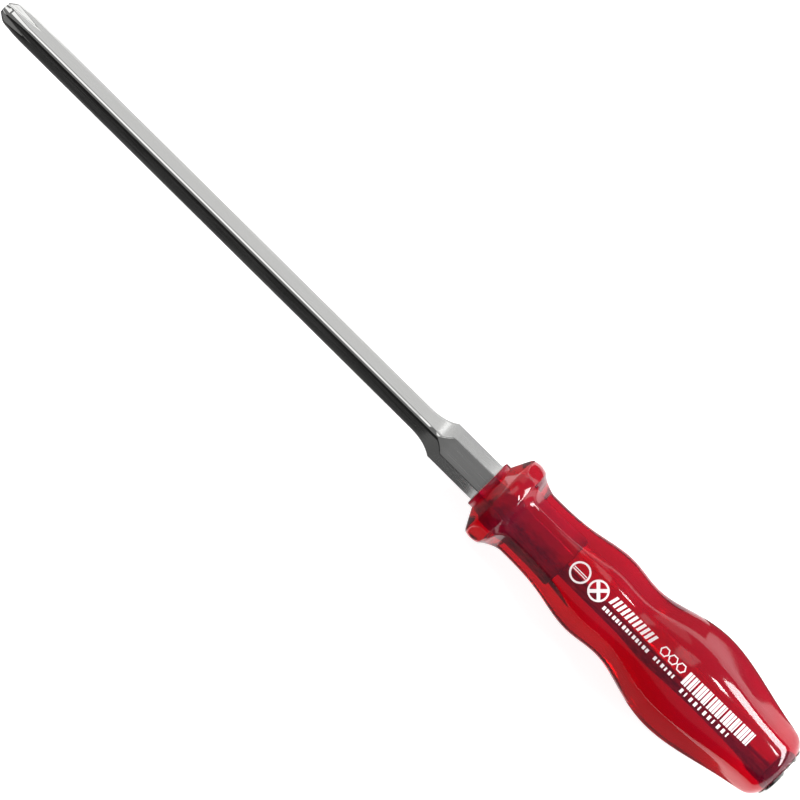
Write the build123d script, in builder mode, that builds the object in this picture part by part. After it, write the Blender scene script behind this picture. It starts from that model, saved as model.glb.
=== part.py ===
from build123d import *
import os
from math import cos, radians, sin, tan

# Cross-tip screwdriver No. 4 x 200 with a tang that runs through the handle, in millimetres.
# It lies along X, from the tip at -X to the striking cap at +X.  +Z is up, and one of the six
# flats of the handle faces up, another rests on the ground.  The origin is on the ground, below
# the middle of the tool.  Distances along the tool are measured from the handle's front face,
# positive towards the cap.

# ---- driving dimensions ----
BLADE_OUT = 200.0                 # tip to the handle's front face
GRIP = 121.0                      # length of the plastic handle
CAP_RISE = 4.3                    # the striking cap stands this far out of the handle
OVERALL = BLADE_OUT + GRIP + CAP_RISE

BAR = 7.0                         # square bar of the blade, across its flats
BAR_CORNER = 1.5
BOLSTER = 11.8                    # forged hexagon, across its flats
BOLSTER_REACH = 7.0               # clear of its corners
BOLSTER_EDGE = 0.4
# The bar swells into the hexagon: distance from the handle's front and half width of the square.
SWELL = ((-28.0, BAR / 2), (-24.0, 3.68), (-20.0, 4.5), (-17.5, 5.6), (-16.0, 6.7))
SEAT = 11.6                       # the hexagon's flats inside the handle
SEAT_LENGTH = 34.0
SEAT_CHAMFER = 0.8

NOSE = 2.1                        # radius of the flat end of the tip
NOSE_EDGE = 0.4                   # chamfer around that end
NOSE_RISE = 2.8                   # the wings' steep front ends here
WING = 3.8                        # radius of the wings at the end of that front
WING_RUN = 9.0                    # the wings reach the bar's corners here
BAR_REACH = 4.34                  # from the axis to a rounded corner of the bar
FLUTE_ANGLE = 92.0                # between the two walls of a flute
FLUTE_FRONT = 2.0                 # from the axis to a flute's floor at the nose
FLUTE_REACH = 12.0                # the floor comes out of the bar's flat here
FLUTE_CUT = 20.0                  # length of the cut, and its height: both clear of the bar
FLUTE_HEIGHT = 6.0

BOSS = 8.3                        # round boss around the bolster
BOSS_LENGTH = 1.8
BOSS_EDGE = 0.5
TAIL = 8.9                        # radius of the handle's rear face

# Outline over the ridges: distance along the handle and radius.
RIM_FRONT = (4.9, 14.5)           # collar in front of the neck
RIM = (7.6, 15.05)
RIM_BACK = (10.3, 14.55)
COVE = (12.3, 13.0)               # hollow between the collar and the neck
NECK = (17.0, 11.5)
NECK_SWELL = (33.0, 12.45)
THUMB = (47.0, 14.5)
WAIST = (58.5, 13.45)
PALM_RISE = (71.0, 16.2)
PALM = (82.0, 18.1)
TAPER = (98.0, 16.1)
SHOULDER = (115.3, 12.3)

# Each flat's floor: distance along the handle and height over the axis.
FLATS = 6
FLAT_FRONT = (4.0, 14.5)          # shallow flats on the collar keep the tool from rolling
FLAT_BACK = (11.4, 14.5)
FLAT_COVE = (13.4, 11.27)
FLAT_NECK = (17.0, 10.0)
FLAT_SWELL = (33.0, 10.9)
FLAT_THUMB = (47.0, 13.3)
FLAT_WAIST = (58.5, 12.45)
FLAT_RISE = (71.0, 15.6)
FLAT_PALM = (80.0, 17.1)
FLAT_TAPER = (97.0, 15.3)
FLAT_SHOULDER = (108.5, 12.85)
FLAT_END = (119.5, 11.6)
FLAT_TOP = 25.0                   # clear of the handle, where the cut that makes a flat ends

TAIL_PIN = 6.0                    # diameter of the tang's turned tail
CAP_SPIGOT = 10.0                 # diameter of the cap's spigot, pressed into the handle
CAP_SPIGOT_LENGTH = 4.0
CAP_LIP = 0.8                     # straight edge of the cap before its dome
SPIGOT_CHAMFER = 0.5
FIT = 0.05                        # gap between the handle and the steel inside it


def flat_floor(mode=Mode.ADD):
    """Line of a flat from the neck to its rear end."""
    return Spline(
        FLAT_NECK,
        FLAT_SWELL,
        FLAT_THUMB,
        FLAT_WAIST,
        FLAT_RISE,
        FLAT_PALM,
        FLAT_TAPER,
        FLAT_SHOULDER,
        FLAT_END,
        tangents=((1, 0), (1, -0.05)),
        tangent_scalars=(1, 1),
        mode=mode,
    )


# ---- worked out from the driving dimensions ----
FRONT_X = BLADE_OUT - OVERALL / 2
AXIS_Z = flat_floor(Mode.PRIVATE).bounding_box().max.Y     # the lower flat touches the ground
TIP = -BLADE_OUT
HUB = (FRONT_X, 0, AXIS_Z)
TOOL_AXIS = Axis(HUB, (1, 0, 0))


def along(turn=0.0):
    """Plane through the axis: x runs along the tool, y out of it, turned from +Z towards +Y."""
    a = radians(turn)
    return Plane(origin=HUB, x_dir=(1, 0, 0), z_dir=(0, -cos(a), sin(a)))


def across(x):
    """Plane across the tool at a distance from the handle's front: x is +Y and y is +Z."""
    return Plane(origin=(FRONT_X + x, 0, AXIS_Z), x_dir=(0, 1, 0), z_dir=(1, 0, 0))


# ---- blade: one forging, from the cross tip to the tail inside the cap ----

# Solid of revolution that bounds the bar: the wings' taper at the tip, the bar's length and the
# turned tail.
with BuildPart() as bar_turning:
    with BuildSketch(along()):
        with BuildLine():
            Polyline(
                (TIP, 0),
                (TIP, NOSE - NOSE_EDGE),
                (TIP + NOSE_EDGE, NOSE),
                (TIP + NOSE_RISE, WING),
                (TIP + WING_RUN, BAR_REACH),
                (TIP + WING_RUN, BAR),
                (GRIP, BAR),
                (GRIP, 0),
                close=True,
            )
        make_face()
    revolve(axis=TOOL_AXIS)

# The square that swells out of the bar, and goes on past the hexagon's corners to the seat's end.
with BuildPart() as swelling:
    for distance, half in SWELL:
        with BuildSketch(across(distance)):
            RectangleRounded(2 * half, 2 * half, BAR_CORNER, rotation=45)
    loft()
    with BuildSketch(across(distance)):
        RectangleRounded(2 * half, 2 * half, BAR_CORNER, rotation=45)
    extrude(amount=SEAT_LENGTH - distance)

# The hexagon cut to that square: its flats begin in a point, on the bar's corners.
with BuildPart() as bolster:
    with BuildSketch(across(SWELL[0][0])) as hexagon:
        RegularPolygon(radius=BOLSTER / 2, side_count=6, major_radius=False)
        fillet(hexagon.vertices(), BOLSTER_EDGE)
    extrude(amount=-SWELL[0][0])
    with BuildSketch(across(0)) as seat_hexagon:
        RegularPolygon(radius=SEAT / 2, side_count=6, major_radius=False)
        fillet(seat_hexagon.vertices(), BOLSTER_EDGE)
    extrude(amount=SEAT_LENGTH)
    add(swelling.part, mode=Mode.INTERSECT)
    with BuildSketch(along()):
        with BuildLine():
            # Clear of the hexagon, except for the chamfer turned on the seat's end.
            Polyline(
                (SWELL[0][0], 0),
                (SWELL[0][0], BOLSTER_REACH),
                (SEAT_LENGTH - SEAT_CHAMFER, BOLSTER_REACH),
                (SEAT_LENGTH, BOLSTER_REACH - 2 * SEAT_CHAMFER),
                (SEAT_LENGTH, 0),
                close=True,
            )
        make_face()
    revolve(axis=TOOL_AXIS, mode=Mode.INTERSECT)

with BuildPart() as blade:
    with BuildSketch(across(TIP)):
        RectangleRounded(BAR, BAR, BAR_CORNER, rotation=45)
    extrude(amount=BLADE_OUT + GRIP - CAP_SPIGOT_LENGTH)
    add(bar_turning.part, mode=Mode.INTERSECT)
    # Four flutes between the wings, each a prism whose floor slopes up to the bar's flat.
    slope = (BAR / 2 - FLUTE_FRONT) / FLUTE_REACH
    half_mouth = radians(FLUTE_ANGLE / 2)
    for turn in (45, 135, 225, 315):
        out = Vector(0, sin(radians(turn)), cos(radians(turn)))
        start = Vector(FRONT_X + TIP, 0, AXIS_Z) + out * FLUTE_FRONT
        run = (Vector(1, 0, 0) + out * slope).normalized()
        mouth = Plane(origin=start - run, x_dir=run.cross(out), z_dir=run)
        half_width = FLUTE_HEIGHT * tan(half_mouth)
        with BuildSketch(mouth):
            with BuildLine():
                edge = (half_width, -FLUTE_HEIGHT)
                Polyline((0, 0), edge, (-half_width, -FLUTE_HEIGHT), close=True)
            make_face()
        extrude(amount=FLUTE_CUT, mode=Mode.SUBTRACT)
    add(bolster.part)
    with BuildSketch(across(GRIP - CAP_SPIGOT_LENGTH)):
        Circle(TAIL_PIN / 2)
    extrude(amount=CAP_SPIGOT_LENGTH)
blade.part.label = "blade"

# ---- handle: turned outline with six flats ----

with BuildPart() as handle:
    with BuildSketch(along()):
        with BuildLine():
            front = Line((0, 0), (0, BOSS - BOSS_EDGE))
            lip = RadiusArc(front @ 1, (BOSS_EDGE, BOSS), BOSS_EDGE)
            Polyline(lip @ 1, (BOSS_LENGTH, BOSS), RIM_FRONT)
            ThreePointArc(RIM_FRONT, RIM, RIM_BACK)
            ThreePointArc(RIM_BACK, COVE, NECK)
            grip = Spline(
                NECK,
                NECK_SWELL,
                THUMB,
                WAIST,
                PALM_RISE,
                PALM,
                TAPER,
                SHOULDER,
                (GRIP, TAIL),
                tangents=((1, 0), (0.55, -0.84)),
                tangent_scalars=(1, 1),
            )
            Polyline(grip @ 1, (GRIP, 0), (0, 0))
        make_face()
    revolve(axis=TOOL_AXIS)
    for number in range(FLATS):
        with BuildSketch(along(number * 360 / FLATS)):
            with BuildLine():
                Line(FLAT_FRONT, FLAT_BACK)
                ThreePointArc(FLAT_BACK, FLAT_COVE, FLAT_NECK)
                flat_floor()
                Polyline(FLAT_END, (FLAT_END[0], FLAT_TOP), (FLAT_FRONT[0], FLAT_TOP), FLAT_FRONT)
            make_face()
        extrude(amount=PALM[1], both=True, mode=Mode.SUBTRACT)
    # Seat of the bolster, round bore of the square tang and recess of the cap's spigot.
    with BuildSketch(across(0)):
        RegularPolygon(radius=SEAT / 2 + FIT, side_count=6, major_radius=False)
    extrude(amount=SEAT_LENGTH, mode=Mode.SUBTRACT)
    with BuildSketch(across(0)):
        Circle(BAR_REACH + FIT)
    extrude(amount=GRIP, mode=Mode.SUBTRACT)
    with BuildSketch(across(GRIP - CAP_SPIGOT_LENGTH)):
        Circle(CAP_SPIGOT / 2)
    extrude(amount=CAP_SPIGOT_LENGTH, mode=Mode.SUBTRACT)
handle.part.label = "handle"

# ---- striking cap: domed steel, its spigot pressed into the handle and onto the tail ----

with BuildPart() as striking_cap:
    with BuildSketch(along()):
        with BuildLine():
            spigot = CAP_SPIGOT / 2
            inner = Polyline(
                (GRIP + CAP_RISE, 0),
                (GRIP, 0),
                (GRIP, TAIL_PIN / 2),
                (GRIP - CAP_SPIGOT_LENGTH, TAIL_PIN / 2),
                (GRIP - CAP_SPIGOT_LENGTH, spigot - SPIGOT_CHAMFER),
                (GRIP - CAP_SPIGOT_LENGTH + SPIGOT_CHAMFER, spigot),
                (GRIP, spigot),
                (GRIP, TAIL),
                (GRIP + CAP_LIP, TAIL),
            )
            rise = CAP_RISE - CAP_LIP
            dome = (TAIL**2 + rise**2) / (2 * rise)
            RadiusArc(inner @ 1, inner @ 0, dome)
        make_face()
    revolve(axis=TOOL_AXIS)
striking_cap.part.label = "striking_cap"

os.makedirs("parts", exist_ok=True)
export_step(blade.part, "parts/blade.step")
export_step(handle.part, "parts/handle.step")
export_step(striking_cap.part, "parts/striking_cap.step")
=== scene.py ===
from math import atan2, ceil, cos, hypot, pi, radians, sin, sqrt, tan

import bmesh
import bpy
from mathutils import Matrix, Vector


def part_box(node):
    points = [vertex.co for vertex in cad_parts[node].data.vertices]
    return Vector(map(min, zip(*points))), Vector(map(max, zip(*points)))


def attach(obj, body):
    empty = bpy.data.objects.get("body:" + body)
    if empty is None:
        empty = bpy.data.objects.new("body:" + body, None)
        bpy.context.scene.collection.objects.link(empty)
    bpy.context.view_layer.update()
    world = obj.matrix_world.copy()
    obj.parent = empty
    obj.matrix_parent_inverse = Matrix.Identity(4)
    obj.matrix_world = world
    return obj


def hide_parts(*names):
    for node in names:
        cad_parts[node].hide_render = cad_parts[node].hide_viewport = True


# A cross-tip screwdriver lying on a pale floor: plated steel blade, clear red handle with printed
# marks, domed steel striking cap. Shapes are worked out in millimetres along the tool from the
# handle's front face (towards the cap is positive) and out from its axis, and a turn is measured
# from +Z towards +Y, in degrees.

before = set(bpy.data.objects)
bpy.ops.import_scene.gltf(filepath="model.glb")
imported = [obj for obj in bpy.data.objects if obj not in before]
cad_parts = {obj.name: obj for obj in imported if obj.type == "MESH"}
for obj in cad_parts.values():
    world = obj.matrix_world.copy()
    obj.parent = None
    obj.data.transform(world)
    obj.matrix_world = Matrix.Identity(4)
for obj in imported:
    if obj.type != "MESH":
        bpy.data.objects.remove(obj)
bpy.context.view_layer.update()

MM = 0.001

# ---- places taken from the frame ----
handle_low, handle_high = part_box("handle")
blade_low, blade_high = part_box("blade")
cap_low, cap_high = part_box("striking_cap")
FRONT_X = handle_low.x
AXIS_Z = (blade_low.z + blade_high.z) / 2
TIP = (blade_low.x - FRONT_X) / MM
GRIP = (handle_high.x - FRONT_X) / MM
BUTT = (cap_high.x - FRONT_X) / MM
BOLSTER = (blade_high.z - blade_low.z) / MM
TAIL = (cap_high.z - cap_low.z) / 2 / MM
SKIN = 0.03                       # the handle's skin stays this far inside the CAD surface

# ---- blade ----
BAR = 7.0
BAR_CORNER = 1.5
NOSE = 1.5                        # radius of the blunt end of the tip
NOSE_START = 2.0
NOSE_SLOPE = 0.71                 # steep fronts of the wings: rise per millimetre
WING_START = 3.58
WING_SLOPE = 0.085                # gentle taper behind the fronts
WING_BLEND = 0.5                  # how wide the crease between front and taper is rounded
BAR_BLEND = 0.2                   # the same, between the wings and the bar
FLUTE_FLOOR = 2.0
FLUTE_SLOPE = 0.125
FLUTE_HALF = 46.0                 # from the middle of a flute to its wall, in degrees
FLUTE_ROUND = 0.02                # rounds the floor of a flute, in radians
FLUTE_LIMIT = 0.05                # below this opening, a flute's wall lies outside the bar
FLUTE_BLEND = 0.25
FLUTE_REACH = 14.0
# Half the width of the square bar as it swells into the bolster, and its slopes at the two ends.
FLARE_LINE = [(-28.0, BAR / 2), (-24.0, 3.68), (-20.0, 4.5), (-17.5, 5.6), (-16.0, 6.7)]
FLARE_ENDS = (0.0, 0.9)
FLARE_BLEND = 0.12
BOLSTER_EDGE = 0.45
SEAT = 11.6                       # the buried hexagon, across flats
SEAT_LENGTH = 34.0
SEAT_CHAMFER = 0.8
TAIL_PIN = 3.0                    # radius of the turned tail in the striking cap
TAIL_PIN_START = GRIP - 4.0
STEP = 0.01                       # rings this close together make a sharp step

# ---- handle: distance along it and radius over the ridges, or height of a flat ----
BOSS = 8.3
BOSS_EDGE = 0.5
BOSS_LENGTH = 1.8
RIM_FRONT = (4.9, 14.5)
RIM = (7.6, 15.05)
RIM_BACK = (10.3, 14.55)
COVE = (12.3, 13.0)
BOSS_BLEND = 0.3                  # where the boss meets the cone in front of the collar
CROWN_BLEND = 0.9                 # where that cone meets the crown of the collar
GRIP_LINE = [
    (17.0, 11.5), (33.0, 12.45), (47.0, 14.5), (58.5, 13.45), (71.0, 16.2),
    (82.0, 18.1), (98.0, 16.1), (115.3, 12.3), (GRIP, TAIL),
]
GRIP_ENDS = (0.0, -1.5)
COLLAR_FLAT = 14.5
FLAT_BACK = (11.4, COLLAR_FLAT)
FLAT_COVE = (13.4, 11.27)
FLAT_LINE = [
    (17.0, 10.0), (33.0, 10.9), (47.0, 13.3), (58.5, 12.45), (71.0, 15.6),
    (80.0, 17.06), (97.0, 15.3), (108.5, 12.85), (119.5, 11.6),
]
FLAT_ENDS = (0.0, -0.05)
FLATS = 6
EDGE_ROLL = 0.45                  # how wide the edges of the flats are rolled over at the neck
EDGE_GAIN = 0.35                  # and how much wider behind the waist
EDGE_START = 60
EDGE_RUN = 20

# ---- striking cap ----
CAP_LIP = 0.8                     # height of the straight rim under the dome
CAP_EDGE = 0.12                   # how far the rim's front edge is drawn in
CAP_SKIN = 0.02                   # the rim stays this far inside the CAD surface
SPIGOT = 5.0                      # radius of the spigot in the plastic
SPIGOT_CHAMFER = 0.5
SPIGOT_LENGTH = 4.0

SHARP_ANGLE = 50.0                # edges steeper than this, in degrees, aren't smoothed


# ---- curves and sections ----

def cubic_line(points, ends):
    """Smooth curve through points: returns a function of the distance, with the end slopes given."""
    xs = [p[0] for p in points]
    ys = [p[1] for p in points]
    count = len(xs)
    gaps = [xs[i + 1] - xs[i] for i in range(count - 1)]
    rises = [(ys[i + 1] - ys[i]) / gaps[i] for i in range(count - 1)]
    # Slopes at the points that make the curvature continuous, by elimination.
    upper = [0.0] * count
    slopes = [0.0] * count
    slopes[0] = ends[0]
    for i in range(1, count - 1):
        low, high = gaps[i], gaps[i - 1]
        pivot = 2 * (low + high) - low * upper[i - 1]
        upper[i] = high / pivot
        wanted = 3 * (low * rises[i - 1] + high * rises[i])
        slopes[i] = (wanted - low * slopes[i - 1]) / pivot
    slopes[-1] = ends[1]
    for i in range(count - 2, 0, -1):
        slopes[i] -= upper[i] * slopes[i + 1]

    def line(x):
        i = 0
        while i < count - 2 and x > xs[i + 1]:
            i += 1
        t = (x - xs[i]) / gaps[i]
        bulge = (1 - t) * (slopes[i] * gaps[i] * (1 - t) - slopes[i + 1] * gaps[i] * t)
        step = (ys[i + 1] - ys[i]) * (3 * t * t - 2 * t * t * t)
        return ys[i] + step + t * bulge

    return line


def arc_through(start, middle, end):
    """Centre and radius of the circle through three points."""
    (ax, ay), (bx, by), (cx, cy) = start, middle, end
    d = 2 * (ax * (by - cy) + bx * (cy - ay) + cx * (ay - by))
    a2, b2, c2 = ax * ax + ay * ay, bx * bx + by * by, cx * cx + cy * cy
    x = (a2 * (by - cy) + b2 * (cy - ay) + c2 * (ay - by)) / d
    y = (a2 * (cx - bx) + b2 * (ax - cx) + c2 * (bx - ax)) / d
    return x, y, hypot(ax - x, ay - y)


def soft_min(a, b, blend):
    """The smaller of two values, with the crease between them rounded over blend."""
    h = max(blend - abs(a - b), 0.0) / blend
    return min(a, b) - h * h * blend / 4


def soft_max(a, b, blend):
    return -soft_min(-a, -b, blend)


def from_nearest(turn, sides):
    """Angle in radians between turn and the nearest of evenly spaced directions, the first at 0."""
    step = 2 * pi / sides
    a = radians(turn) % step
    return min(a, step - a)


def polygon_reach(turn, sides, apothem, corner):
    """From the centre to a rounded regular polygon whose first flat faces turn 0."""
    half = pi / sides
    a = from_nearest(turn, sides)
    if a <= atan2((apothem - corner) * tan(half), apothem):
        return apothem / cos(a)
    centre = (apothem - corner) / cos(half)
    off = half - a
    return centre * cos(off) + sqrt(max(corner**2 - (centre * sin(off)) ** 2, 0.0))


def place(x, reach, turn):
    """Point in the frame, in metres, for a distance along the tool, a reach and a turn."""
    a = radians(turn)
    return Vector((FRONT_X + x * MM, reach * sin(a) * MM, AXIS_Z + reach * cos(a) * MM))


def steps(start, end, gap):
    """Even steps from start to end, both included, no further apart than gap."""
    count = max(1, ceil(abs(end - start) / gap))
    return [start + (end - start) * i / count for i in range(count + 1)]


# ---- meshes ----

def mesh_object(name, points, faces):
    mesh = bpy.data.meshes.new(name)
    mesh.from_pydata(points, [], faces)
    mesh.update()
    obj = bpy.data.objects.new(name, mesh)
    bpy.context.scene.collection.objects.link(obj)
    for face in mesh.polygons:
        face.use_smooth = True
    return obj


def skin(name, rings, turns):
    """Closed skin over rings of (distance, reach function), with a fan at each end."""
    points = []
    for x, reach in rings:
        points += [place(x, reach(x, t), t) for t in turns]
    n = len(turns)
    faces = []
    for i in range(len(rings) - 1):
        for j in range(n):
            k = (j + 1) % n
            faces.append((i * n + j, i * n + k, (i + 1) * n + k, (i + 1) * n + j))
    points.append(place(rings[0][0], 0, 0))
    points.append(place(rings[-1][0], 0, 0))
    last = (len(rings) - 1) * n
    for j in range(n):
        k = (j + 1) % n
        faces.append((len(points) - 2, k, j))
        faces.append((len(points) - 1, last + j, last + k))
    obj = mesh_object(name, points, faces)
    fix_normals(obj)
    obj.data.set_sharp_from_angle(angle=radians(SHARP_ANGLE))
    return obj


def fix_normals(obj):
    """Joins doubled points, drops empty faces and makes normals agree: outwards on a closed skin,
    but either way up on an open sheet.
    """
    bm = bmesh.new()
    bm.from_mesh(obj.data)
    bmesh.ops.remove_doubles(bm, verts=bm.verts, dist=1e-7)
    bmesh.ops.dissolve_degenerate(bm, edges=bm.edges, dist=1e-7)
    bmesh.ops.recalc_face_normals(bm, faces=bm.faces)
    bm.to_mesh(obj.data)
    bm.free()


# ---- blade ----

def bar_reach(x, turn):
    return polygon_reach(turn + 45, 4, BAR / 2, BAR_CORNER)


def tip_reach(x, turn):
    """The bar, its wings tapered towards the nose and four flutes cut between them."""
    back = x - TIP
    front = NOSE_START + NOSE_SLOPE * back
    taper = WING_START + WING_SLOPE * back
    wing = soft_min(front, taper, WING_BLEND)
    reach = soft_min(bar_reach(x, turn), wing, BAR_BLEND)
    a = sqrt(from_nearest(turn + 45, 4) ** 2 + FLUTE_ROUND**2)
    opening = cos(a) - sin(a) / tan(radians(FLUTE_HALF))
    if opening > FLUTE_LIMIT:
        reach = soft_min(reach, (FLUTE_FLOOR + FLUTE_SLOPE * back) / opening, FLUTE_BLEND)
    return reach


flare_line = cubic_line(FLARE_LINE, FLARE_ENDS)


def hexagon_reach(x, turn):
    return polygon_reach(turn, 6, (BOLSTER if x <= 0 else SEAT) / 2, BOLSTER_EDGE)


def bolster_reach(x, turn):
    """The forged hexagon, and in front of it the bar that swells until it is as wide."""
    reach = hexagon_reach(x, turn)
    if x < FLARE_LINE[-1][0]:
        swell = polygon_reach(turn + 45, 4, flare_line(x), BAR_CORNER)
        reach = soft_min(reach, swell, FLARE_BLEND)
    return reach


def blade():
    """Rings from the nose to the turned tail, with extra ones across the hexagon's edges."""
    turns = sorted(
        {round(i * 2.5, 3) for i in range(144)}
        | {round(30 + 60 * k + d, 3) for k in range(6) for d in (-1.6, -0.8, 0.8, 1.6)}
    )
    rings = [(TIP, lambda x, t: NOSE), (TIP + 0.08, tip_reach)]
    rings += [(x, tip_reach) for x in steps(TIP + 0.25, TIP + FLUTE_REACH, 0.22)]
    rings += [(x, bar_reach) for x in steps(TIP + FLUTE_REACH + 2, FLARE_LINE[0][0] - 1, 6)]
    rings += [(x, bolster_reach) for x in steps(FLARE_LINE[0][0], FLARE_LINE[-1][0], 0.2)]
    rings += [(x, bolster_reach) for x in steps(FLARE_LINE[-1][0] + 1, 0, 3)]
    rings += [(x, bolster_reach) for x in steps(2 * STEP, SEAT_LENGTH - SEAT_CHAMFER, 5)]
    rings += [(SEAT_LENGTH, lambda x, t: hexagon_reach(x, t) - SEAT_CHAMFER)]
    rings += [(SEAT_LENGTH + STEP, bar_reach)]
    rings += [(x, bar_reach) for x in steps(SEAT_LENGTH + 4, TAIL_PIN_START, 8)]
    rings += [(x, lambda x, t: TAIL_PIN) for x in (TAIL_PIN_START + STEP, GRIP)]
    return skin("steel_blade", rings, turns)


# ---- handle ----

grip_line = cubic_line(GRIP_LINE, GRIP_ENDS)
flat_line = cubic_line(FLAT_LINE, FLAT_ENDS)
CROWN = arc_through(RIM_FRONT, RIM, RIM_BACK)
COVE_ARC = arc_through(RIM_BACK, COVE, GRIP_LINE[0])
FLAT_ARC = arc_through(FLAT_BACK, FLAT_COVE, FLAT_LINE[0])


def outline(x):
    """Radius of the handle over its ridges."""
    if x < BOSS_LENGTH:
        return BOSS - BOSS_EDGE + sqrt(max(BOSS_EDGE**2 - max(BOSS_EDGE - x, 0) ** 2, 0))
    if x < RIM_BACK[0]:
        slope = (RIM_FRONT[1] - BOSS) / (RIM_FRONT[0] - BOSS_LENGTH)
        cone = BOSS + slope * (x - BOSS_LENGTH)
        crown = CROWN[1] + sqrt(max(CROWN[2] ** 2 - (x - CROWN[0]) ** 2, 0))
        return soft_min(soft_max(cone, BOSS, BOSS_BLEND), crown, CROWN_BLEND)
    if x < GRIP_LINE[0][0]:
        return COVE_ARC[1] - sqrt(COVE_ARC[2] ** 2 - (x - COVE_ARC[0]) ** 2)
    return grip_line(x)


def flat_height(x):
    """Height of the flats over the axis."""
    if x < FLAT_BACK[0]:
        return COLLAR_FLAT
    if x < FLAT_LINE[0][0]:
        return FLAT_ARC[1] - sqrt(max(FLAT_ARC[2] ** 2 - (x - FLAT_ARC[0]) ** 2, 0))
    return flat_line(min(x, FLAT_LINE[-1][0]))


def edge_blend(x):
    """How wide the edge between a flat and the round of the handle is rolled over."""
    return EDGE_ROLL + EDGE_GAIN * min(max((x - EDGE_START) / EDGE_RUN, 0), 1)


def handle_reach(x, turn):
    reach = outline(x)
    if x > RIM_FRONT[0]:
        flat = flat_height(x) / cos(from_nearest(turn, FLATS))
        reach = soft_min(reach, flat, edge_blend(x))
    return reach - SKIN


def handle():
    """Rings from the boss to the butt, closest together where the outline bends most."""
    turns = [i * 2.0 for i in range(180)]
    rings = [(x, handle_reach) for x in (0, 0.06, 0.15, 0.3, 0.5)]
    rings += [(x, handle_reach) for x in steps(1.0, BOSS_LENGTH - 0.3, 0.5)]
    rings += [(x, handle_reach) for x in steps(BOSS_LENGTH - 0.15, RIM_BACK[0], 0.15)]
    rings += [(x, handle_reach) for x in steps(RIM_BACK[0] + 0.25, GRIP_LINE[0][0], 0.3)]
    rings += [(x, handle_reach) for x in steps(GRIP_LINE[0][0] + 0.6, GRIP - 8, 0.8)]
    rings += [(x, handle_reach) for x in steps(GRIP - 7.6, GRIP, 0.35)]
    return skin("clear_red_handle", rings, turns)


# ---- striking cap ----

def striking_cap():
    """The dome, its straight rim and the spigot that sits in the plastic."""
    rise = BUTT - GRIP - CAP_LIP
    dome = (TAIL**2 + rise**2) / (2 * rise)
    centre = BUTT - dome

    def dome_reach(x, turn):
        return min(sqrt(max(dome**2 - (x - centre) ** 2, 0.0)), TAIL - CAP_SKIN)

    spigot_front = GRIP - SPIGOT_LENGTH
    rings = [(spigot_front, lambda x, t: SPIGOT - SPIGOT_CHAMFER)]
    rings += [(x, lambda x, t: SPIGOT) for x in (spigot_front + SPIGOT_CHAMFER, GRIP - STEP)]
    rings += [(GRIP, lambda x, t: TAIL - CAP_EDGE), (GRIP + 0.1, lambda x, t: TAIL - CAP_SKIN)]
    rings += [(GRIP + CAP_LIP, dome_reach)]
    outer = atan2(TAIL, GRIP + CAP_LIP - centre)
    for a in steps(outer * 0.985, outer * 0.02, 0.03):
        rings.append((centre + dome * cos(a), dome_reach))
    return skin("domed_striking_cap", rings, [i * 3.0 for i in range(120)])


# ---- printed marks on the flat that faces up ----

# Ink is a sheet INK out of the plastic, thickened by INK_DEPTH behind its faces. That is into the
# plastic where a stroke faces up, and out of it for the few short strokes that face down.
INK = 0.02
INK_DEPTH = 0.05
CUT = 0.8                         # long marks are cut into lengths of this, to follow the handle
ICON = 3.3                        # outer radius of the round icons
ICON_LINE = 0.6
ICON_Y = 1.2
SLOT_X = 37.5
SLOT_HALF = 2.5
SLOT_LINES = (1.35, 0.7)
SLOT_LINE_WIDTH = 0.3
CROSS_X = 45.0
CROSS_REACH = ICON - 0.5
CROSS_WIDTH = 1.1
NUTS = 3
NUT_PITCH = 3.3
NUT_PLACE = (71.2, 2.4)
NUT_OUTER = 1.65
NUT_INNER = 1.2
NUT_SIDES = 6


def printed(name, quads):
    """Thin ink over quads of (x, y) corners, each laid on the handle's flat."""
    points = []
    faces = []
    for quad in quads:
        start = len(points)
        for x, y in quad:
            height = flat_height(x) - SKIN + INK
            points.append(Vector((FRONT_X + x * MM, y * MM, AXIS_Z + height * MM)))
        faces.append(tuple(range(start, start + len(quad))))
    obj = mesh_object(name, points, faces)
    fix_normals(obj)
    for face in obj.data.polygons:
        face.use_smooth = False
    thick = obj.modifiers.new("thickness", "SOLIDIFY")
    thick.thickness = INK_DEPTH * MM
    thick.offset = -1
    return obj


def bar_quads(x0, x1, y0, y1, lean=0.0):
    """A bar cut into short lengths, so that it follows the handle; lean slants it."""
    cuts = steps(x0, x1, CUT)
    shift = lean * (y1 - y0)
    return [
        [(a, y0), (b, y0), (b + shift, y1), (a + shift, y1)] for a, b in zip(cuts, cuts[1:])
    ]


def ring_quads(x, y, outer, inner, sides=40):
    """A flat ring around (x, y); with few sides it is a nut's outline."""
    turns = [2 * pi * i / sides for i in range(sides + 1)]
    return [
        [
            (x + outer * cos(a), y + outer * sin(a)),
            (x + outer * cos(b), y + outer * sin(b)),
            (x + inner * cos(b), y + inner * sin(b)),
            (x + inner * cos(a), y + inner * sin(a)),
        ]
        for a, b in zip(turns, turns[1:])
    ]


def spoke_quads(x, y, length, width, angle):
    """A bar through (x, y), of half the length given to each side, turned by angle in degrees."""
    c, s = cos(radians(angle)), sin(radians(angle))
    ends = steps(-length, length, CUT)
    return [
        [
            (x + u * c - v * s, y + u * s + v * c)
            for u, v in ((a, -width / 2), (b, -width / 2), (b, width / 2), (a, width / 2))
        ]
        for a, b in zip(ends, ends[1:])
    ]


def slot_icon():
    quads = ring_quads(SLOT_X, ICON_Y, ICON, ICON - ICON_LINE)
    for y in SLOT_LINES:
        quads += bar_quads(SLOT_X - SLOT_HALF, SLOT_X + SLOT_HALF, y, y + SLOT_LINE_WIDTH)
    return quads


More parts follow.
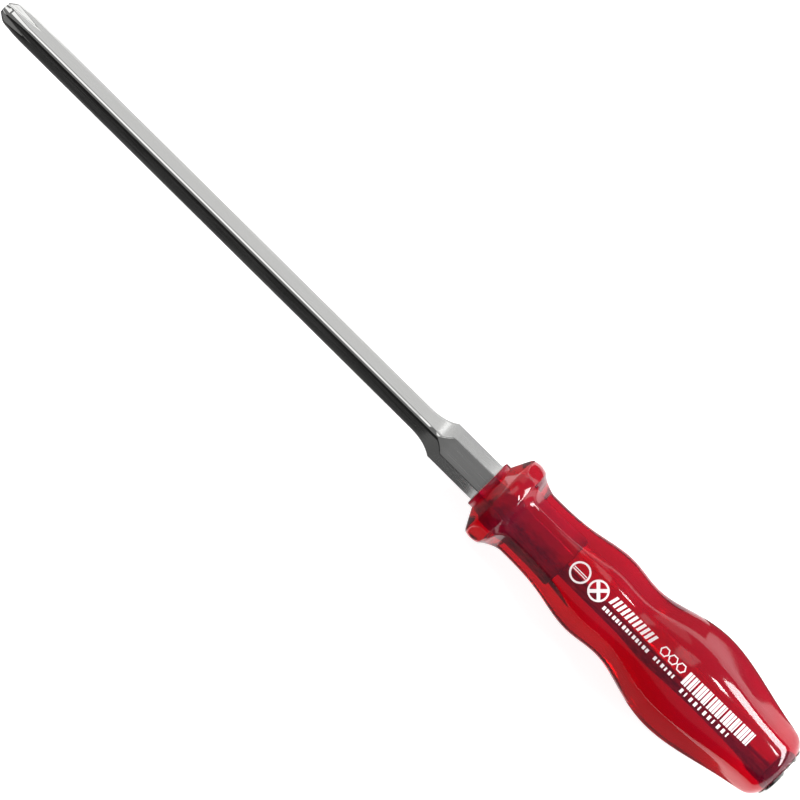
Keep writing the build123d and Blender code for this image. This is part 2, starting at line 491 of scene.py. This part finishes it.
def cross_icon():
    quads = ring_quads(CROSS_X, ICON_Y, ICON, ICON - ICON_LINE)
    for angle in (45, -45):
        quads += spoke_quads(CROSS_X, ICON_Y, CROSS_REACH, CROSS_WIDTH, angle)
    return quads


def row(x0, x1, y0, y1, pitch, widths, lean=0.0):
    """Strokes from y0 to y1 at an even pitch along x, whose widths go round a short list."""
    quads = []
    for i in range(int((x1 - x0) / pitch)):
        start = x0 + i * pitch
        quads += bar_quads(start, start + widths[i % len(widths)], y0, y1, lean)
    return quads


def nut_outlines():
    x, y = NUT_PLACE
    quads = []
    for i in range(NUTS):
        quads += ring_quads(x + NUT_PITCH * i, y, NUT_OUTER, NUT_INNER, NUT_SIDES)
    return quads


def marks():
    """Plain marks in place of lettering: two tip icons, hatching, outlines, strokes and bars."""
    layout = {
        "mark_slot_icon": slot_icon(),
        "mark_cross_icon": cross_icon(),
        "mark_hatching": row(49.4, 68.4, 0.9, 3.9, 1.6, (0.95,), 0.25),
        "mark_nut_outlines": nut_outlines(),
        "mark_dashes": row(49.3, 68.4, -1.8, -0.6, 1.35, (0.9, 0.9, 0.5)),
        "mark_short_dashes": row(70.0, 79.0, -1.7, -0.5, 1.5, (0.9, 0.6)),
        "mark_bars": row(80.6, 108.6, -0.8, 3.6, 1.15, (0.95, 0.7, 0.95, 0.45, 0.8)),
        "mark_ticks": row(82.0, 104.6, -3.0, -1.6, 1.9, (0.9, 0.5, 0.9)),
    }
    return [printed(name, quads) for name, quads in layout.items()]


# ---- materials ----

def new_material(name):
    material = bpy.data.materials.new(name)
    material.use_nodes = True
    nodes = material.node_tree.nodes
    return material, nodes, material.node_tree.links, nodes["Principled BSDF"]


def noise(nodes, links, scale, stretch, detail):
    """Noise in the object's own metres, of scale times stretch features per metre."""
    coords = nodes.new("ShaderNodeTexCoord")
    mapping = nodes.new("ShaderNodeMapping")
    mapping.inputs["Scale"].default_value = stretch
    texture = nodes.new("ShaderNodeTexNoise")
    texture.inputs["Scale"].default_value = scale
    texture.inputs["Detail"].default_value = detail
    links.new(coords.outputs["Object"], mapping.inputs["Vector"])
    links.new(mapping.outputs["Vector"], texture.inputs["Vector"])
    return texture


def spread(nodes, links, source, low, high):
    """Maps the middle of a noise, where most of it lies, to low to high."""
    node = nodes.new("ShaderNodeMapRange")
    node.inputs["From Min"].default_value = 0.3
    node.inputs["From Max"].default_value = 0.7
    node.inputs["To Min"].default_value = low
    node.inputs["To Max"].default_value = high
    links.new(source, node.inputs["Value"])
    return node


def bump(nodes, links, shader, height, strength, distance):
    node = nodes.new("ShaderNodeBump")
    node.inputs["Strength"].default_value = strength
    node.inputs["Distance"].default_value = distance
    links.new(height, node.inputs["Height"])
    links.new(node.outputs["Normal"], shader.inputs["Normal"])


def along(nodes, links, axis, start, end, low, high):
    """Goes from low to high between two places on an axis: X from the handle's front, or Y."""
    coords = nodes.new("ShaderNodeTexCoord")
    split = nodes.new("ShaderNodeSeparateXYZ")
    links.new(coords.outputs["Object"], split.inputs["Vector"])
    origin = FRONT_X if axis == "X" else 0
    node = nodes.new("ShaderNodeMapRange")
    node.inputs["From Min"].default_value = origin + start * MM
    node.inputs["From Max"].default_value = origin + end * MM
    node.inputs["To Min"].default_value = low
    node.inputs["To Max"].default_value = high
    links.new(split.outputs[axis], node.inputs["Value"])
    return node


def blend_colour(nodes, links, factor, first, second):
    node = nodes.new("ShaderNodeMix")
    node.data_type = "RGBA"
    node.inputs["A"].default_value = (*first, 1)
    node.inputs["B"].default_value = (*second, 1)
    links.new(factor, node.inputs["Factor"])
    return node


def maths(nodes, links, operation, first, second, clamp=False):
    node = nodes.new("ShaderNodeMath")
    node.use_clamp = clamp
    node.operation = operation
    for i, value in enumerate((first, second)):
        if isinstance(value, (int, float)):
            node.inputs[i].default_value = value
        else:
            links.new(value, node.inputs[i])
    return node.outputs["Value"]


def plated_steel():
    """Bright plate on the shank and satin on the bolster; dark scale on the buried tang, with
    painted
    light and shade on it: lighter near the handle's front and on the side that faces the lights,
    darker on the side away from them.
    """
    material, nodes, links, shader = new_material("plated_steel")
    shader.inputs["Metallic"].default_value = 1.0
    buried = along(nodes, links, "X", -0.5, 1.5, 0, 1)
    satin = along(nodes, links, "X", -21, -15, 0, 1)
    mottle = noise(nodes, links, 500, (0.4, 1, 1), 5.0)
    bright, forged = (0.60, 0.60, 0.59), (0.50, 0.50, 0.495)
    plate = blend_colour(nodes, links, satin.outputs["Result"], bright, forged)
    # Painted shade: the tang darkens towards -Y, the side away from the lights, and lightens towards
    # +Y.
    painted_side_shade = along(nodes, links, "Y", -2.5, 1.5, -0.25, 0.75)
    # Painted light: the tang lightens near the handle's front, where light comes in through the
    # boss.
    front = along(nodes, links, "X", 2, 8, 1, 0)
    painted_light_and_mottle = maths(nodes, links, "ADD", painted_side_shade.outputs["Result"], front.outputs["Result"])
    painted_light_and_mottle = maths(nodes, links, "ADD", painted_light_and_mottle, mottle.outputs["Fac"], clamp=True)
    # The scale's tone follows the painted light and shade above, broken up by random mottle.
    scale = blend_colour(nodes, links, painted_light_and_mottle, (0.03, 0.028, 0.025), (0.70, 0.68, 0.66))
    colour = nodes.new("ShaderNodeMix")
    colour.data_type = "RGBA"
    links.new(buried.outputs["Result"], colour.inputs["Factor"])
    links.new(plate.outputs["Result"], colour.inputs["A"])
    links.new(scale.outputs["Result"], colour.inputs["B"])
    links.new(colour.outputs["Result"], shader.inputs["Base Color"])
    polish = noise(nodes, links, 1.0, (60, 3000, 3000), 4.0)
    rough = spread(nodes, links, polish.outputs["Fac"], 0.05, 0.12)
    forged_blur = maths(nodes, links, "MULTIPLY", satin.outputs["Result"], 0.16)
    buried_blur = maths(nodes, links, "MULTIPLY", buried.outputs["Result"], 0.2)
    rough = maths(nodes, links, "ADD", rough.outputs["Result"], forged_blur)
    rough = maths(nodes, links, "ADD", rough, buried_blur)
    links.new(rough, shader.inputs["Roughness"])
    bump(nodes, links, shader, polish.outputs["Fac"], 0.1, 0.02 * MM)
    return material


def cap_steel():
    """Turned steel: fine rings around the axis and a few dull patches."""
    material, nodes, links, shader = new_material("turned_cap_steel")
    shader.inputs["Metallic"].default_value = 1.0
    mottle = noise(nodes, links, 260, (1, 1, 1), 4.0)
    tint = blend_colour(nodes, links, mottle.outputs["Fac"], (0.55, 0.55, 0.54), (0.72, 0.72, 0.70))
    links.new(tint.outputs["Result"], shader.inputs["Base Color"])
    rough = spread(nodes, links, mottle.outputs["Fac"], 0.16, 0.30)
    links.new(rough.outputs["Result"], shader.inputs["Roughness"])
    rings = noise(nodes, links, 1.0, (9000, 60, 60), 2.0)
    bump(nodes, links, shader, rings.outputs["Fac"], 0.15, 0.02 * MM)
    return material


def red_plastic():
    """Clear plastic, whose red comes from what the light loses on its way through."""
    material, nodes, links, shader = new_material("clear_red_plastic")
    shader.inputs["Base Color"].default_value = (0.54, 0.015, 0.09, 1)
    shader.inputs["Roughness"].default_value = 0.09
    shader.inputs["IOR"].default_value = 1.48
    shader.inputs["Transmission Weight"].default_value = 0.9
    absorb = nodes.new("ShaderNodeVolumeAbsorption")
    absorb.inputs["Color"].default_value = (0.97, 0.05, 0.3, 1)
    absorb.inputs["Density"].default_value = 300
    links.new(absorb.outputs["Volume"], nodes["Material Output"].inputs["Volume"])
    return material


def white_ink():
    material, _, _, shader = new_material("white_ink")
    shader.inputs["Base Color"].default_value = (0.86, 0.78, 0.79, 1)
    shader.inputs["Roughness"].default_value = 0.45
    return material


def dress(obj, material, body="root"):
    obj.data.materials.clear()
    obj.data.materials.append(material)
    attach(obj, body)


steel = plated_steel()
plastic = red_plastic()
ink = white_ink()

blade_piece = blade()
dress(blade_piece, steel)
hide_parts("blade")

handle_piece = handle()
dress(handle_piece, plastic)
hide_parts("handle")

cap_piece = striking_cap()
dress(cap_piece, cap_steel())
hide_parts("striking_cap")

for piece in marks():
    dress(piece, ink)

# ---- floor, light and camera ----

DISTANCE = 1.45                   # camera over the tool's axis, in metres
FIELD = 0.2362                    # width of the picture at the axis
VIEW_TURN = 44.68                 # the tool runs down to the right at this angle
VIEW_LEAN = 3.0                   # the camera stands this far off the vertical, towards +Y
AIM = Vector((0.0018, -0.0006, AXIS_Z))
SENSOR = 36
FLOOR_HALF = 1.5
CARD_HEIGHT = 0.0003              # table cards lie this far over the floor


def floor():
    """A pale table that glows a little, as over a light box, so that shadows stay faint."""
    corners = ((-1, -1), (1, -1), (1, 1), (-1, 1))
    points = [Vector((x * FLOOR_HALF, y * FLOOR_HALF, 0)) for x, y in corners]
    obj = mesh_object("floor", points, [(0, 1, 2, 3)])
    material, _, _, shader = new_material("pale_floor")
    shader.inputs["Base Color"].default_value = (0.6, 0.6, 0.6, 1)
    shader.inputs["Roughness"].default_value = 0.9
    shader.inputs["Specular IOR Level"].default_value = 0.0
    shader.inputs["Emission Color"].default_value = (1, 1, 1, 1)
    shader.inputs["Emission Strength"].default_value = 0.85
    obj.data.materials.append(material)


def softbox(name, place_at, aim, width, height, brightness):
    """A soft rectangular light of an even brightness, which the camera doesn't see."""
    light = bpy.data.lights.new(name, "AREA")
    light.shape = "RECTANGLE"
    light.size = width
    light.size_y = height
    light.energy = brightness * pi * width * height
    obj = bpy.data.objects.new(name, light)
    bpy.context.scene.collection.objects.link(obj)
    obj.location = place_at
    obj.rotation_mode = "QUATERNION"
    obj.rotation_quaternion = (Vector(aim) - Vector(place_at)).to_track_quat("-Z", "Y")
    obj.visible_camera = False


def card(name, low, high, brightness, through_plastic=False):
    """A studio card between two corners, lying or standing along the tool, of an even tone.

    Only reflections show it, and what the plastic bends if asked; it throws no shadow.
    """
    (x0, y0, z0), (x1, y1, z1) = low, high
    corners = ((x0, y0, z0), (x1, y0, z0), (x1, y1, z1), (x0, y1, z1))
    obj = mesh_object(name, [Vector(c) for c in corners], [(0, 1, 2, 3)])
    material = bpy.data.materials.new(name)
    material.use_nodes = True
    nodes, links = material.node_tree.nodes, material.node_tree.links
    nodes.remove(nodes["Principled BSDF"])
    glow = nodes.new("ShaderNodeEmission")
    glow.inputs["Strength"].default_value = brightness
    links.new(glow.outputs["Emission"], nodes["Material Output"].inputs["Surface"])
    obj.data.materials.append(material)
    obj.visible_camera = False
    obj.visible_diffuse = False
    obj.visible_transmission = through_plastic
    obj.visible_shadow = False


def cards():
    """Cards on the table and walls: dark ones keep the sides of the steel and plastic deep, a
    pale one is mirrored in the side of the bolster and a bright one over the tip in its wings.
    """
    above = CARD_HEIGHT
    bolster, neck, palm = FRONT_X - 0.020, FRONT_X + 0.004, FRONT_X + 0.074
    end = handle_high.x - 0.003
    card("blade_table_card", (-0.40, -0.30, above), (FRONT_X, -0.001, above), 0.14)
    card("bolster_table_card", (-0.15, 0.024, above), (FRONT_X, 0.30, above), 0.85)
    card("collar_table_card", (bolster, -0.001, above), (FRONT_X + 0.004, 0.024, above), 0.2)
    card("far_wall_card", (-0.60, -0.30, 0), (0.60, -0.30, 0.40), 0.02, True)
    card("neck_table_card", (neck, 0.041, above), (palm, 0.075, above), 0.16)
    card("far_neck_table_card", (neck, -0.20, above), (palm, -0.033, above), 0.16)
    card("palm_table_card", (palm, -0.20, above), (end, 0.0605, above), 0.14)
    card("grip_wall_card", (FRONT_X + 0.001, 0.25, 0), (end, 0.25, 0.16), 0.25)
    card("tip_card", (blade_low.x - 0.11, -0.005, 0.25), (blade_low.x - 0.02, 0.25, 0.25), 1.5)


def camera():
    """Looks down on the tool through a long lens, turned as in the photograph."""
    data = bpy.data.cameras.new("camera")
    data.sensor_width = SENSOR
    data.lens = SENSOR * DISTANCE / FIELD
    data.clip_start = 0.05
    data.clip_end = 20
    obj = bpy.data.objects.new("camera", data)
    bpy.context.scene.collection.objects.link(obj)
    lean = Matrix.Rotation(radians(-VIEW_LEAN), 3, "X")
    obj.location = AIM + lean @ Vector((0, 0, DISTANCE))
    obj.rotation_mode = "QUATERNION"
    obj.rotation_quaternion = (lean @ Matrix.Rotation(radians(VIEW_TURN), 3, "Z")).to_quaternion()
    bpy.context.scene.camera = obj


def surroundings():
    """A dim studio around the table; the backdrop that the camera sees is pale."""
    world = bpy.data.worlds.new("studio")
    world.use_nodes = True
    nodes, links = world.node_tree.nodes, world.node_tree.links
    dim = nodes["Background"]
    dim.inputs["Color"].default_value = (1.0, 1.0, 1.0, 1)
    dim.inputs["Strength"].default_value = 0.24
    pale = nodes.new("ShaderNodeBackground")
    pale.inputs["Color"].default_value = (1.0, 1.0, 1.0, 1)
    ray = nodes.new("ShaderNodeLightPath")
    mix = nodes.new("ShaderNodeMixShader")
    links.new(ray.outputs["Is Camera Ray"], mix.inputs["Fac"])
    links.new(dim.outputs["Background"], mix.inputs[1])
    links.new(pale.outputs["Background"], mix.inputs[2])
    links.new(mix.outputs["Shader"], nodes["World Output"].inputs["Surface"])
    bpy.context.scene.world = world


floor()
surroundings()
cards()
softbox("blade_strip", (-0.2, 0.62, 1.2), (-0.2, 0, 0), 0.44, 0.96, 1.4)
softbox("tip_light", (-0.75, 0.08, 0.3), (-0.15, 0, 0), 0.35, 0.35, 1.3)
softbox("side_wall", (-0.48, 1.0, 0.25), (-0.48, 0, 0.1), 1.06, 0.55, 0.66)
softbox("grip_strip", (0.58, 0.55, 1.2), (0.1, 0, 0), 0.3, 0.2, 30)
softbox("window_light", (0.98, 0.67, 0.55), (0.15, 0, 0), 1.2, 0.42, 20)
camera()
bpy.context.scene.view_settings.view_transform = "Standard"
